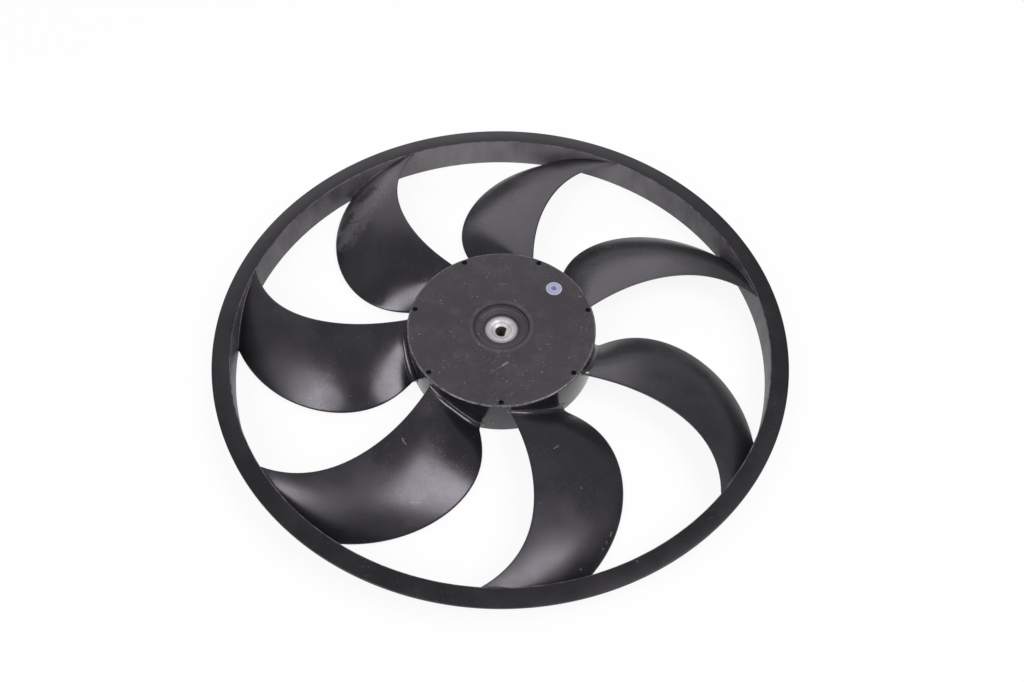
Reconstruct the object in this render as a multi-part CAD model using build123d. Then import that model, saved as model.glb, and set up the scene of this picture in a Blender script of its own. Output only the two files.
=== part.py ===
from build123d import *
import os
from math import cos, radians, sin

"""Axial fan impeller: one moulding of hub cup, seven swept blades and rim ring,
a turned metal bush moulded into its hub, and an inspection dot on its hub face.

Millimetres. The shaft axis is Z. Z = 0 is the plane of the feet of the hub and
the ring, on which the impeller lies with its closed hub face up.
"""

# ---- ring round the blade tips -----------------------------------------------
RING_DIA = 380.0          # over the flange
RING_H = 23.6             # feet to the top of the flange
FLANGE_W = 12.0           # flat flange, outer edge to inner edge
FLANGE_T = 1.8
WALL_T = 2.2              # upright wall that hangs from the flange
WALL_FLARE = 1.9          # how much further out its foot stands than its head

# ---- hub cup -----------------------------------------------------------------
HUB_DIA = 125.4           # at the face
HUB_H = 28.1
HUB_FLARE = 0.5           # moulding draft of the skirt, added to its foot radius
HUB_SKIRT_T = 2.8
HUB_FACE_T = 3.0
HUB_RIM = 0.9             # bevelled rim of the face

# ---- ribs and boss inside the cup --------------------------------------------
RIB_T = 2.2
RIB_H = 8.0               # below the underside of the face
BOSS_DIA = 33.0
BOSS_DRAFT = 0.6          # narrower by this radius at its foot
BOSS_SHORT = 1.2          # the bush stands out of its foot by this

# ---- stepped dish round the bush ---------------------------------------------
DISH_LIP_DIA = 43.6       # shallow chamfer that leads in
DISH_LIP_DROP = 0.45
DISH_DIA = 36.6
DISH_STEP = 1.1           # upright step below the lip
DISH_LEDGE_W = 1.6
DISH_LEDGE_STEP = 0.5
DISH_FLOOR_DIA = 24.6     # where its cone ends
BUSH_DROP = 4.3           # top of the bush below the hub face
BUSH_LIP = 0.9            # upright step down from the cone to the bush

# ---- bush --------------------------------------------------------------------
BUSH_DIA = 21.8
BUSH_L = 17.0
BUSH_EDGE = 0.4
BUSH_WAIST_W = 4.0        # six-sided waist that the moulding grips
BUSH_WAIST_AF = 18.0
SHAFT_DIA = 8.0
SHAFT_FLAT = 2.75         # flat of the bore, from the axis
SHAFT_FLAT_AZ = -14.0
BORE_EDGE = 0.45

# ---- blades ------------------------------------------------------------------
BLADES = 7
BLADE_AZ = 90.0           # first blade
LEAD_Z = 22.6             # middle of the leading edge
TRAIL_Z = 3.6             # middle of the trailing edge at the hub
TRAIL_DROP = 1.2          # how much lower it is at the tip
EDGE_T = 1.2              # thickness at both edges
MID_T = 2.6               # thickness at mid chord
CAMBER = 0.55             # share of the rise that the bow takes up
# sweep of each edge, degrees as a polynomial of the share of the span
LEAD_SWEEP = (-19.57, 37.3, -89.66, 87.88, -44.57)
TRAIL_SWEEP = (13.15, 57.46, -168.17, 141.78, -54.93)
SPAN_ROWS, CHORD_ROWS = 9, 5

# ---- gate dimples of the moulding, one ahead of each blade root --------------
DIMPLE_DIA = 3.6
DIMPLE_DEPTH = 1.4
DIMPLE_INSET = 3.2        # centre from the hub's edge
DIMPLE_LEAD = -24.53      # degrees from the blade's middle line
DIMPLE_SIDES = 12

# ---- inspection dot ----------------------------------------------------------
DOT_DIA = 11.0
DOT_T = 0.3
DOT_AZ = 42.3
DOT_INSET = 15.3          # its centre from the hub's edge

# ---- sizes that follow -------------------------------------------------------
RING_R = RING_DIA / 2
WALL_R = RING_R - FLANGE_W            # head of the wall, inside
HUB_R = HUB_DIA / 2
BUSH_TOP = HUB_H - BUSH_DROP
BUSH_FOOT = BUSH_TOP - BUSH_L
BOSS_FOOT = BUSH_FOOT + BOSS_SHORT
CUP_TOP = HUB_H - HUB_FACE_T
SPAN = WALL_R + WALL_FLARE / 2 - HUB_R
PITCH = 360.0 / BLADES


def wall_r(z, at):
    """Radius of the ring wall at height z: at = 0 its inside, at = 1 its outside."""
    return WALL_R + WALL_FLARE * (1 - z / RING_H) + WALL_T * at


def skirt_r(z, at):
    """Radius of the hub skirt at height z: at = 0 its outside, at = 1 its inside."""
    return HUB_R + HUB_FLARE * (1 - z / HUB_H) - HUB_SKIRT_T * at


def polynomial(terms, s):
    return sum(term * s**power for power, term in enumerate(terms))


def turned(*profile):
    """Solid of revolution of a closed (radius, height) outline."""
    return revolve(make_face(Plane.XZ * Polyline(*profile, close=True)), Axis.Z)


def blade_point(root, tip, along, chord, side):
    """Point of a blade skin; side is +1 for the upper skin and -1 for the lower."""
    rise = (1 - CAMBER) * chord + CAMBER * chord**2
    z_mid = LEAD_Z + (TRAIL_Z - TRAIL_DROP * along - LEAD_Z) * rise
    thick = EDGE_T + (MID_T - EDGE_T) * 4 * chord * (1 - chord)
    z = z_mid + side * thick / 2
    r_root, r_tip = skirt_r(z, root), wall_r(z, tip)
    r = r_root + (r_tip - r_root) * along
    s = (r - HUB_R) / SPAN
    lead = polynomial(LEAD_SWEEP, s)
    angle = radians(lead + (polynomial(TRAIL_SWEEP, s) - lead) * chord)
    return (r * cos(angle), r * sin(angle), z)


def make_blade():
    """One blade, from mid skirt to mid wall, its middle line along +X."""
    skins = []
    for side in (1, -1):
        rows = [[blade_point(0.5, 0.5, i / (SPAN_ROWS - 1), j / (CHORD_ROWS - 1), side)
                 for i in range(SPAN_ROWS)] for j in range(CHORD_ROWS)]
        skins.append(Face.make_surface_from_array_of_points(rows, tol=0.05, min_deg=2, max_deg=2))
    upper, lower = skins
    sides = []
    for edge in upper.edges():
        mate = min(lower.edges(), key=lambda e: (e.center() - edge.center()).length)
        sides.append(Face.make_surface_from_curves(edge, mate))
    return Solid(Shell([upper, lower, *sides]))


def make_ring():
    foot_in, foot_out = wall_r(0, 0), wall_r(0, 1)
    under = RING_H - FLANGE_T
    return turned((WALL_R, RING_H), (RING_R, RING_H), (RING_R, under), (wall_r(under, 1), under),
                  (foot_out, 0), (foot_in, 0))


def make_bush_blank():
    """The bush without its bore: a turned barrel with a six-sided waist."""
    waist_z = (BUSH_TOP + BUSH_FOOT) / 2
    r = BUSH_DIA / 2
    barrel = turned((0, BUSH_FOOT), (r - BUSH_EDGE, BUSH_FOOT), (r, BUSH_FOOT + BUSH_EDGE),
                    (r, BUSH_TOP - BUSH_EDGE), (r - BUSH_EDGE, BUSH_TOP), (0, BUSH_TOP))
    groove = Pos(0, 0, waist_z) * (
        Cylinder(r + 1, BUSH_WAIST_W)
        - extrude(RegularPolygon(BUSH_WAIST_AF / 2, 6, major_radius=False),
                  BUSH_WAIST_W / 2, both=True))
    return barrel - groove


def make_bush():
    r = SHAFT_DIA / 2
    bore = Pos(0, 0, BUSH_FOOT) * Cylinder(r, BUSH_L, align=(Align.CENTER, Align.CENTER, Align.MIN))
    bore += Pos(0, 0, BUSH_TOP - BORE_EDGE) * Cone(r, r + BORE_EDGE, BORE_EDGE,
                                                   align=(Align.CENTER, Align.CENTER, Align.MIN))
    land = Pos(SHAFT_FLAT, 0, BUSH_FOOT) * Box(r, 2 * r + 4, BUSH_L,
                                               align=(Align.MIN, Align.CENTER, Align.MIN))
    bore = Rot(0, 0, SHAFT_FLAT_AZ) * (bore - land)
    return make_bush_blank() - bore


def make_hub():
    boss_r = BOSS_DIA / 2
    lip_r, dish_r, floor_r = DISH_LIP_DIA / 2, DISH_DIA / 2, DISH_FLOOR_DIA / 2
    rim_z = HUB_H - HUB_RIM
    hub = turned((0, HUB_H), (skirt_r(rim_z, 0) - HUB_RIM, HUB_H), (skirt_r(rim_z, 0), rim_z),
                 (skirt_r(0, 0), 0), (skirt_r(0, 1), 0), (skirt_r(CUP_TOP, 1), CUP_TOP), (0, CUP_TOP))
    hub += turned((0, BOSS_FOOT), (boss_r - BOSS_DRAFT, BOSS_FOOT),
                  (boss_r, CUP_TOP), (boss_r, CUP_TOP + HUB_FACE_T / 2), (0, CUP_TOP + HUB_FACE_T / 2))
    rib_l = skirt_r(CUP_TOP - RIB_H, 0.5) - boss_r + 2 * BOSS_DRAFT
    for k in range(BLADES):
        hub += (Rot(0, 0, BLADE_AZ + k * PITCH)
                * Pos(boss_r - 2 * BOSS_DRAFT, 0, CUP_TOP - RIB_H)
                * Box(rib_l, RIB_T, RIB_H + HUB_FACE_T / 2, align=(Align.MIN, Align.CENTER, Align.MIN)))
    step_z = HUB_H - DISH_LIP_DROP - DISH_STEP
    ledge_r, ledge_z = dish_r - DISH_LEDGE_W, step_z - DISH_LEDGE_STEP
    hub -= turned((0, HUB_H + 1), (lip_r, HUB_H + 1), (lip_r, HUB_H), (dish_r, HUB_H - DISH_LIP_DROP),
                  (dish_r, step_z), (ledge_r, step_z), (ledge_r, ledge_z),
                  (floor_r, BUSH_TOP + BUSH_LIP), (floor_r, BUSH_TOP), (0, BUSH_TOP))
    return hub - make_bush_blank()


def make_impeller():
    ring, hub, blade = make_ring(), make_hub(), make_blade()
    blades = [Rot(0, 0, BLADE_AZ + k * PITCH) * blade for k in range(BLADES)]
    body = hub.fuse(ring, *blades)
    for k in range(BLADES):
        body -= make_dimple(k)
    return body


def make_dimple(k):
    """Pocket to cut for the gate dimple of blade k."""
    pocket = extrude(RegularPolygon(DIMPLE_DIA / 2, DIMPLE_SIDES), DIMPLE_DEPTH, both=True)
    place = Rot(0, 0, BLADE_AZ + DIMPLE_LEAD + k * PITCH) * Pos(HUB_R - DIMPLE_INSET, 0, HUB_H)
    return place * pocket


def make_dot():
    return (Rot(0, 0, DOT_AZ) * Pos(HUB_R - DOT_INSET, 0, HUB_H)
            * Cylinder(DOT_DIA / 2, DOT_T, align=(Align.CENTER, Align.CENTER, Align.MIN)))


if __name__ == "__main__":
    os.makedirs("parts", exist_ok=True)
    for name, shape in (("impeller", make_impeller()), ("shaft_bush", make_bush()),
                        ("inspection_dot", make_dot())):
        solids = shape.solids()
        print(name, "solids", len(solids), "volume", round(shape.volume), "valid", shape.is_valid)
        export_step(solids[0] if len(solids) == 1 else shape, f"parts/{name}.step")
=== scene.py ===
"""Dressed model of an axial fan impeller: a black moulding of hub cup, swept blades
and flanged rim ring, with a turned shaft bush and a small inspection dot.

The shaft axis is Z, and the feet of the hub and the ring stand on Z = 0 with the closed
hub face up. Sizes of the pieces and radii and heights in the finishes are in millimetres,
angles in degrees. Outlines, meshes, reliefs, noise and the studio are in metres.
"""

import logging
import math
from collections.abc import Sequence
from dataclasses import dataclass
from enum import Enum

import bmesh
import bpy
import numpy as np
from mathutils import Matrix, Vector


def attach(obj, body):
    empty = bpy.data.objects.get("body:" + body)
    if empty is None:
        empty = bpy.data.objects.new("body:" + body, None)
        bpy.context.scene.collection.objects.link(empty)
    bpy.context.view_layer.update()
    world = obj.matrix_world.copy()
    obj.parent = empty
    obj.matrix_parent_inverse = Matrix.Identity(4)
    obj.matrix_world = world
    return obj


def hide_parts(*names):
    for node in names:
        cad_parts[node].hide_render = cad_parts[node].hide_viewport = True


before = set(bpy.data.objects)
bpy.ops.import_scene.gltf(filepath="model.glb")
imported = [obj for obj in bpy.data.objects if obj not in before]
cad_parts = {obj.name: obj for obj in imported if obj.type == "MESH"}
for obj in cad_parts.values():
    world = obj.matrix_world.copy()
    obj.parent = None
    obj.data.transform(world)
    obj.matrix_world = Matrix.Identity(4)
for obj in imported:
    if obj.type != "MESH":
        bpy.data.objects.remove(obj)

LOG = logging.getLogger("impeller")
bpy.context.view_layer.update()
MM = 0.001
BODY = "root"

Mesh = bpy.types.Mesh
Object = bpy.types.Object
Material = bpy.types.Material
Socket = bpy.types.NodeSocket
Tree = bpy.types.NodeTree
Point = tuple[float, float, float]
Pair = tuple[float, float]
Outline = list[Pair]
Noise = tuple[float, float, float]      # its scale, detail and roughness


class Skin(Enum):
    """Surface states that the one moulding has."""

    HUB = "hub"
    BLADE = "blade"
    RING = "ring"


# ---- small mesh helpers ----


def eased(value: float, low: float, high: float, start: float, end: float) -> float:
    """Value that runs smoothly from `start` at `low` to `end` at `high`."""
    share = min(max((value - low) / (high - low), 0.0), 1.0)
    return start + (end - start) * share * share * (3 - 2 * share)


def corner_arc(corner: Pair, before: Pair, after: Pair, radius: float, steps: int) -> Outline:
    """Rounds one corner of an outline.

    Args:
        corner: the sharp corner.
        before: outline point ahead of it.
        after: outline point behind it.
        radius: radius of the rounding.
        steps: number of points less one.

    Returns:
        Points along the rounding, from the side of `before` to that of `after`.
    """
    c, p, q = (np.array(v, float) for v in (corner, before, after))
    u, v = (p - c) / np.linalg.norm(p - c), (q - c) / np.linalg.norm(q - c)
    half = math.acos(float(np.clip(u @ v, -1, 1))) / 2
    run = radius / math.tan(half)
    centre = c + (u + v) / np.linalg.norm(u + v) * radius / math.sin(half)
    start, end = c + u * run - centre, c + v * run - centre
    sweep = math.pi - 2 * half
    points = []
    for k in range(steps + 1):
        t = k / steps
        way = (math.sin((1 - t) * sweep) * start + math.sin(t * sweep) * end) / math.sin(sweep)
        points.append(tuple(float(x) for x in centre + way))
    return points


def rounded(outline: Sequence[Point], steps: int = 5) -> Outline:
    """Rounds the corners of a closed outline.

    Args:
        outline: (radius, height, rounding) of each corner in millimetres; rounding 0
            keeps it sharp.
        steps: number of steps round each rounding.

    Returns:
        The rounded outline as (radius, height) points in metres.
    """
    result: Outline = []
    for k, (x, y, rounding) in enumerate(outline):
        if rounding <= 0:
            result.append((x, y))
            continue
        before, after = outline[k - 1][:2], outline[(k + 1) % len(outline)][:2]
        result.extend(corner_arc((x, y), before, after, rounding, steps))
    return [(r * MM, z * MM) for r, z in result]


def outward_mesh(name: str, bm: bmesh.types.BMesh) -> Mesh:
    """Turns a bmesh into a mesh whose faces point outwards.

    Args:
        name: name of the mesh.
        bm: the closed shape, freed afterwards.

    Returns:
        The mesh.
    """
    bmesh.ops.recalc_face_normals(bm, faces=bm.faces)
    mesh = bpy.data.meshes.new(name)
    bm.to_mesh(mesh)
    bm.free()
    return mesh


def joined(rings: Sequence[list], closed: bool) -> list[list]:
    """Faces between rings whose points stand beside each other.

    Args:
        rings: rings with the same number of points.
        closed: whether the last ring joins the first.

    Returns:
        The corners of each face, a point that both rings share only once.
    """
    faces = []
    for this, following in zip(rings, [*rings[1:], rings[0]] if closed else rings[1:]):
        for k in range(len(this)):
            n = (k + 1) % len(this)
            faces.append(each_once([this[k], following[k], following[n], this[n]]))
    return [face for face in faces if len(face) > 2]


def each_once(corners: list) -> list:
    """Corners of a face in order, without those that repeat."""
    return [corner for k, corner in enumerate(corners) if corner not in corners[:k]]


def turned_mesh(name: str, outline: Outline, segments: int = 288) -> Mesh:
    """Turns a closed outline about the shaft axis.

    Args:
        name: name of the mesh.
        outline: closed (radius, height) outline in metres.
        segments: steps round the axis.

    Returns:
        A closed mesh with its faces outwards. Points on the axis are shared.
    """
    on_axis = 1e-7
    bm = bmesh.new()
    columns = []
    poles: dict[int, bmesh.types.BMVert] = {}
    for s in range(segments):
        a = 2 * math.pi * s / segments
        column = []
        for k, (r, z) in enumerate(outline):
            vert = poles.get(k) or bm.verts.new((r * math.cos(a), r * math.sin(a), z))
            if r < on_axis:
                poles[k] = vert
            column.append(vert)
        columns.append(column)
    for face in joined(columns, closed=True):
        bm.faces.new(face)
    return outward_mesh(name, bm)


def add_object(name: str, data: bpy.types.ID) -> Object:
    """Links a mesh, a lamp or a camera into the scene as an object at the origin.

    Args:
        name: name of the object.
        data: its mesh, lamp or camera.

    Returns:
        The object.
    """
    obj = bpy.data.objects.new(name, data)
    bpy.context.scene.collection.objects.link(obj)
    return obj


def shade_by_angle(mesh: Mesh, angle_deg: float) -> None:
    """Smooths a mesh except across edges sharper than an angle."""
    mesh.polygons.foreach_set("use_smooth", np.ones(len(mesh.polygons), dtype=bool))
    mesh.set_sharp_from_angle(angle=math.radians(angle_deg))


def baked(obj: Object, angle_deg: float = 28.0) -> Object:
    """Replaces an object's mesh and modifiers by the plain evaluated mesh.

    Args:
        obj: object with live modifiers.
        angle_deg: angle above which an edge stays sharp.

    Returns:
        The same object, without modifiers.
    """
    graph = bpy.context.evaluated_depsgraph_get()
    mesh = bpy.data.meshes.new_from_object(obj.evaluated_get(graph), depsgraph=graph)
    obj.modifiers.clear()
    obj.data = mesh
    shade_by_angle(mesh, angle_deg)
    return obj


def add_piece(name: str, mesh: Mesh, angle_deg: float, material: Material) -> Object:
    """Makes a piece that needs no modifier.

    Args:
        name: name of the piece.
        mesh: its mesh.
        angle_deg: angle above which an edge stays sharp.
        material: its finish.

    Returns:
        The piece.
    """
    obj = add_object(name, mesh)
    shade_by_angle(mesh, angle_deg)
    dress(obj, material)
    return obj


def dress(obj: Object, material: Material) -> None:
    """Gives an object one material and nothing else.

    Args:
        obj: the object.
        material: its finish.
    """
    obj.data.materials.clear()
    obj.data.materials.append(material)
    obj.data.polygons.foreach_set("material_index", [0] * len(obj.data.polygons))


# ---- node arithmetic ----


class Wire:
    """One value in a node tree, to reckon with as with a number."""

    def __init__(self, tree: Tree, socket: Socket) -> None:
        """Holds the socket that the value comes out of."""
        self.tree, self.socket = tree, socket

    def math(self, operation: str, *others: "Wire | float") -> "Wire":
        """Runs one math node on this value and others."""
        return Wire(self.tree, add_node(self.tree, "ShaderNodeMath",
                                        dict(enumerate((self, *others))),
                                        operation=operation).outputs[0])

    def __add__(self, other: "Wire | float") -> "Wire":
        """Sum."""
        return self.math("ADD", other)

    def __sub__(self, other: "Wire | float") -> "Wire":
        """Difference."""
        return self.math("SUBTRACT", other)

    def __mul__(self, other: "Wire | float") -> "Wire":
        """Product."""
        return self.math("MULTIPLY", other)

    def __truediv__(self, other: "Wire | float") -> "Wire":
        """Quotient."""
        return self.math("DIVIDE", other)

    def band(self, low: float, high: float, least: float = 0.0, most: float = 1.0) -> "Wire":
        """Smooth step of the value, from `least` at `low` to `most` at `high`."""
        feeds = {"Value": self, "From Min": low, "From Max": high, "To Min": least,
                 "To Max": most}
        return Wire(self.tree, add_node(self.tree, "ShaderNodeMapRange", feeds,
                                        interpolation_type="SMOOTHSTEP").outputs[0])

    def rise(self, low: float, high: float) -> "Wire":
        """Smooth step from 0 to 1 between two lengths in millimetres."""
        return self.band(low * MM, high * MM)

    def fall(self, low: float, high: float) -> "Wire":
        """Smooth step from 1 to 0 between two lengths in millimetres."""
        return self.band(low * MM, high * MM, 1.0, 0.0)


def feed(tree: Tree, socket: Socket, value: object) -> None:
    """Links a wire or an output to a socket, or sets the socket to a plain value.

    Args:
        tree: tree that holds the socket.
        socket: input of a node.
        value: wire, output socket or plain value.
    """
    if isinstance(value, Wire):
        value = value.socket
    if isinstance(value, Socket):
        tree.links.new(value, socket)
    else:
        socket.default_value = value


def add_node(tree: Tree, kind: str, feeds: dict | None = None,
             **settings: object) -> bpy.types.Node:
    """Adds a node to a tree.

    Args:
        tree: the tree.
        kind: type name of the node.
        feeds: wire, socket or plain value of each input, by its name or place.
        **settings: settings of the node.

    Returns:
        The node.
    """
    node = tree.nodes.new(kind)
    for key, value in settings.items():
        setattr(node, key, value)
    for place, value in (feeds or {}).items():
        feed(tree, node.inputs[place], value)
    return node


def blank_tree(owner: Material | bpy.types.World) -> Tree:
    """Node tree of a material or a world, emptied."""
    owner.use_nodes = True
    owner.node_tree.nodes.clear()
    return owner.node_tree


def coordinates(tree: Tree, vector: Socket) -> tuple[Wire, Wire, Wire]:
    """The three coordinates of a vector, one by one."""
    split = add_node(tree, "ShaderNodeSeparateXYZ", {0: vector})
    return tuple(Wire(tree, split.outputs[k]) for k in range(3))


def across(x: Wire, y: Wire) -> Wire:
    """Length of a way along X and Y, such as the distance from the shaft axis."""
    return (x * x + y * y).math("SQRT")


def rays(tree: Tree, kinds: Sequence[str]) -> Wire:
    """Tells rays of some kinds from the rest.

    Args:
        tree: node tree of a material or a world.
        kinds: the kinds, as the Light Path node names them.

    Returns:
        1 for rays of these kinds and 0 for all others.
    """
    path = add_node(tree, "ShaderNodeLightPath")
    total, *others = (Wire(tree, path.outputs[f"Is {kind} Ray"]) for kind in kinds)
    for other in others:
        total = total.math("MAXIMUM", other)
    return total


def polynomial(terms: Sequence[Wire], s: Wire) -> Wire:
    """Value of a polynomial by nested products.

    Args:
        terms: its terms in rising order.
        s: where it is taken.

    Returns:
        Its value.
    """
    total = s * 0.0 + terms[-1]
    for term in reversed(terms[:-1]):
        total = total * s + term
    return total


class NodeForm:
    """Geometry Nodes tree with named inputs, whose result becomes a plain mesh."""

    def __init__(self, name: str, inputs: dict[str, str]) -> None:
        """Starts the tree.

        Args:
            name: name of the tree.
            inputs: kind of socket of each named input.
        """
        self.tree = bpy.data.node_groups.new(name, "GeometryNodeTree")
        face = self.tree.interface
        for key, kind in ({"Geometry": "Geometry"} | inputs).items():
            face.new_socket(key, in_out="INPUT", socket_type=f"NodeSocket{kind}")
        face.new_socket("Geometry", in_out="OUTPUT", socket_type="NodeSocketGeometry")
        self.given = add_node(self.tree, "NodeGroupInput").outputs

    def run(self, obj: Object, values: dict[str, object], angle_deg: float = 28.0) -> Object:
        """Runs the tree on an object.

        Args:
            obj: the object, whose mesh is the tree's Geometry.
            values: value of each named input.
            angle_deg: angle above which an edge stays sharp.

        Returns:
            The object with the plain result as its mesh.
        """
        modifier = obj.modifiers.new("form", "NODES")
        modifier.node_group = self.tree
        for item in self.tree.interface.items_tree:
            if item.in_out == "INPUT" and item.name in values:
                modifier[item.identifier] = values[item.name]
        return baked(obj, angle_deg)


# ---- geometry nodes: copies round the shaft ----


class RoundPattern(NodeForm):
    """Geometry Nodes tree that sets copies of a piece evenly round the shaft axis."""

    def __init__(self, name: str) -> None:
        """Builds the tree with the inputs Count, First Angle and Material.

        Args:
            name: name of the tree.
        """
        super().__init__(name, {"Count": "Int", "First Angle": "Float",
                                "Material": "Material"})
        tree, given = self.tree, self.given
        line = add_node(tree, "GeometryNodeMeshLine",
                        {"Count": given["Count"], "Offset": (0, 0, 0)})
        index = add_node(tree, "GeometryNodeInputIndex").outputs[0]
        pitch = add_node(tree, "ShaderNodeMath", {0: 2 * math.pi, 1: given["Count"]},
                         operation="DIVIDE").outputs[0]
        turn = add_node(tree, "ShaderNodeMath", {0: index, 1: pitch, 2: given["First Angle"]},
                        operation="MULTIPLY_ADD").outputs[0]
        spin = add_node(tree, "ShaderNodeCombineXYZ", {"Z": turn}).outputs[0]
        copies = add_node(tree, "GeometryNodeInstanceOnPoints",
                          {"Points": line.outputs["Mesh"], "Instance": given["Geometry"],
                           "Rotation": spin})
        real = add_node(tree, "GeometryNodeRealizeInstances", {0: copies.outputs[0]})
        paint = add_node(tree, "GeometryNodeSetMaterial",
                         {"Geometry": real.outputs[0], "Material": given["Material"]})
        add_node(tree, "NodeGroupOutput", {0: paint.outputs[0]})

    def lay(self, name: str, mesh: Mesh, count: int, first_deg: float, material: Material,
            angle_deg: float = 28.0) -> Object:
        """Makes one plain mesh of all the copies.

        Args:
            name: name of the new object.
            mesh: the one piece, in its place at angle 0.
            count: number of copies.
            first_deg: angle of the first copy.
            material: finish of all copies.
            angle_deg: angle above which an edge stays sharp.

        Returns:
            The object with its plain mesh.
        """
        values = {"Count": count, "First Angle": math.radians(first_deg), "Material": material}
        return self.run(add_object(name, mesh), values, angle_deg)


# ---- geometry nodes: the blade's form ----


class BladeForm(NodeForm):
    """Geometry Nodes tree that bends a marked sleeve of faces into one blade.

    The sleeve's points carry chord, side, along, root_off, tip_off and fillet. The tree
    puts each one on the blade's law between hub skirt and ring wall, and then lifts the
    ends off the skin as quarter-round fillets.
    """

    MARKS = ("chord", "side", "along", "root_off", "tip_off", "fillet")

    def __init__(self, name: str, sizes: dict[str, float]) -> None:
        """Builds the tree.

        Args:
            name: name of the tree.
            sizes: name and value of each named input.
        """
        super().__init__(name, {key: "Float" for key in sizes})
        self.sizes = sizes
        size = {key: Wire(self.tree, self.given[key]) for key in sizes}
        mark = {key: self._mark(key) for key in self.MARKS}
        placed = add_node(self.tree, "GeometryNodeSetPosition",
                          {"Geometry": self.given["Geometry"],
                           "Position": self._law(size, mark)})
        lifted = add_node(self.tree, "GeometryNodeSetPosition",
                          {"Geometry": placed.outputs[0], "Offset": self._lift(mark["fillet"])})
        add_node(self.tree, "NodeGroupOutput", {0: lifted.outputs[0]})

    def _mark(self, key: str) -> Wire:
        """Reads one mark of the sleeve."""
        node = add_node(self.tree, "GeometryNodeInputNamedAttribute", {"Name": key},
                        data_type="FLOAT")
        return Wire(self.tree, node.outputs["Attribute"])

    def _law(self, size: dict[str, Wire], mark: dict[str, Wire]) -> Socket:
        """Lays out the blade's law.

        Args:
            size: the named sizes.
            mark: the marks of the sleeve.

        Returns:
            The socket of the place on the blade.
        """
        chord, along = mark["chord"], mark["along"]
        camber = size["Root Camber"] + (size["Tip Camber"] - size["Root Camber"]) * along
        rise = chord * chord * camber + chord * (camber * -1.0 + 1.0)
        trail_z = size["Trail Height"] - along * size["Trail Drop"]
        middle = size["Lead Height"] + (trail_z - size["Lead Height"]) * rise
        swell = chord * 4.0 * (chord * -1.0 + 1.0)
        thick = size["Edge Thickness"] + (size["Middle Thickness"] - size["Edge Thickness"]) * swell
        z = middle + thick * mark["side"] * 0.5
        skirt = size["Hub Radius"] + size["Hub Flare"] * (z / size["Hub Height"] * -1.0 + 1.0)
        wall = size["Wall Radius"] + size["Wall Flare"] * (z / size["Ring Height"] * -1.0 + 1.0)
        start, end = skirt + mark["root_off"], wall - mark["tip_off"]
        r = start + (end - start) * along
        s = (r - size["Hub Radius"]) / size["Span"]
        lead, trail = (polynomial([size[f"{edge} Sweep {k}"] for k in range(5)], s)
                       for edge in ("Lead", "Trail"))
        angle = (lead + (trail - lead) * chord).math("RADIANS")
        return add_node(self.tree, "ShaderNodeCombineXYZ",
                        {"X": r * angle.math("COSINE"), "Y": r * angle.math("SINE"),
                         "Z": z}).outputs[0]

    def _vector(self, operation: str, first: Socket, second: object = None,
                **feeds: object) -> Socket:
        """Runs one vector math node and returns its result."""
        feeds = {0: first} | ({} if second is None else {1: second}) | feeds
        return add_node(self.tree, "ShaderNodeVectorMath", feeds,
                        operation=operation).outputs[0]

    def _lift(self, fillet: Wire) -> Socket:
        """Lays out the lift of a fillet, off the skin but along the wall it leans on.

        Args:
            fillet: how far the fillet lifts each point.

        Returns:
            The socket of the lift.
        """
        normal = add_node(self.tree, "GeometryNodeInputNormal").outputs[0]
        where = add_node(self.tree, "GeometryNodeInputPosition").outputs[0]
        away = self._vector("NORMALIZE", self._vector("MULTIPLY", where, (1, 1, 0)))
        along_wall = self._vector("SUBTRACT", normal, self._vector("PROJECT", normal, away))
        return self._vector("SCALE", self._vector("NORMALIZE", along_wall), Scale=fillet)

    def shape(self, sleeve: Mesh) -> Mesh:
        """Bends a marked sleeve into the blade.

        Args:
            sleeve: the sleeve of faces with its marks.

        Returns:
            The plain mesh of the blade.
        """
        obj = self.run(add_object("blade_sleeve", sleeve), self.sizes)
        mesh = obj.data
        bpy.data.objects.remove(obj)
        return mesh


# ---- finishes ----


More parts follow.
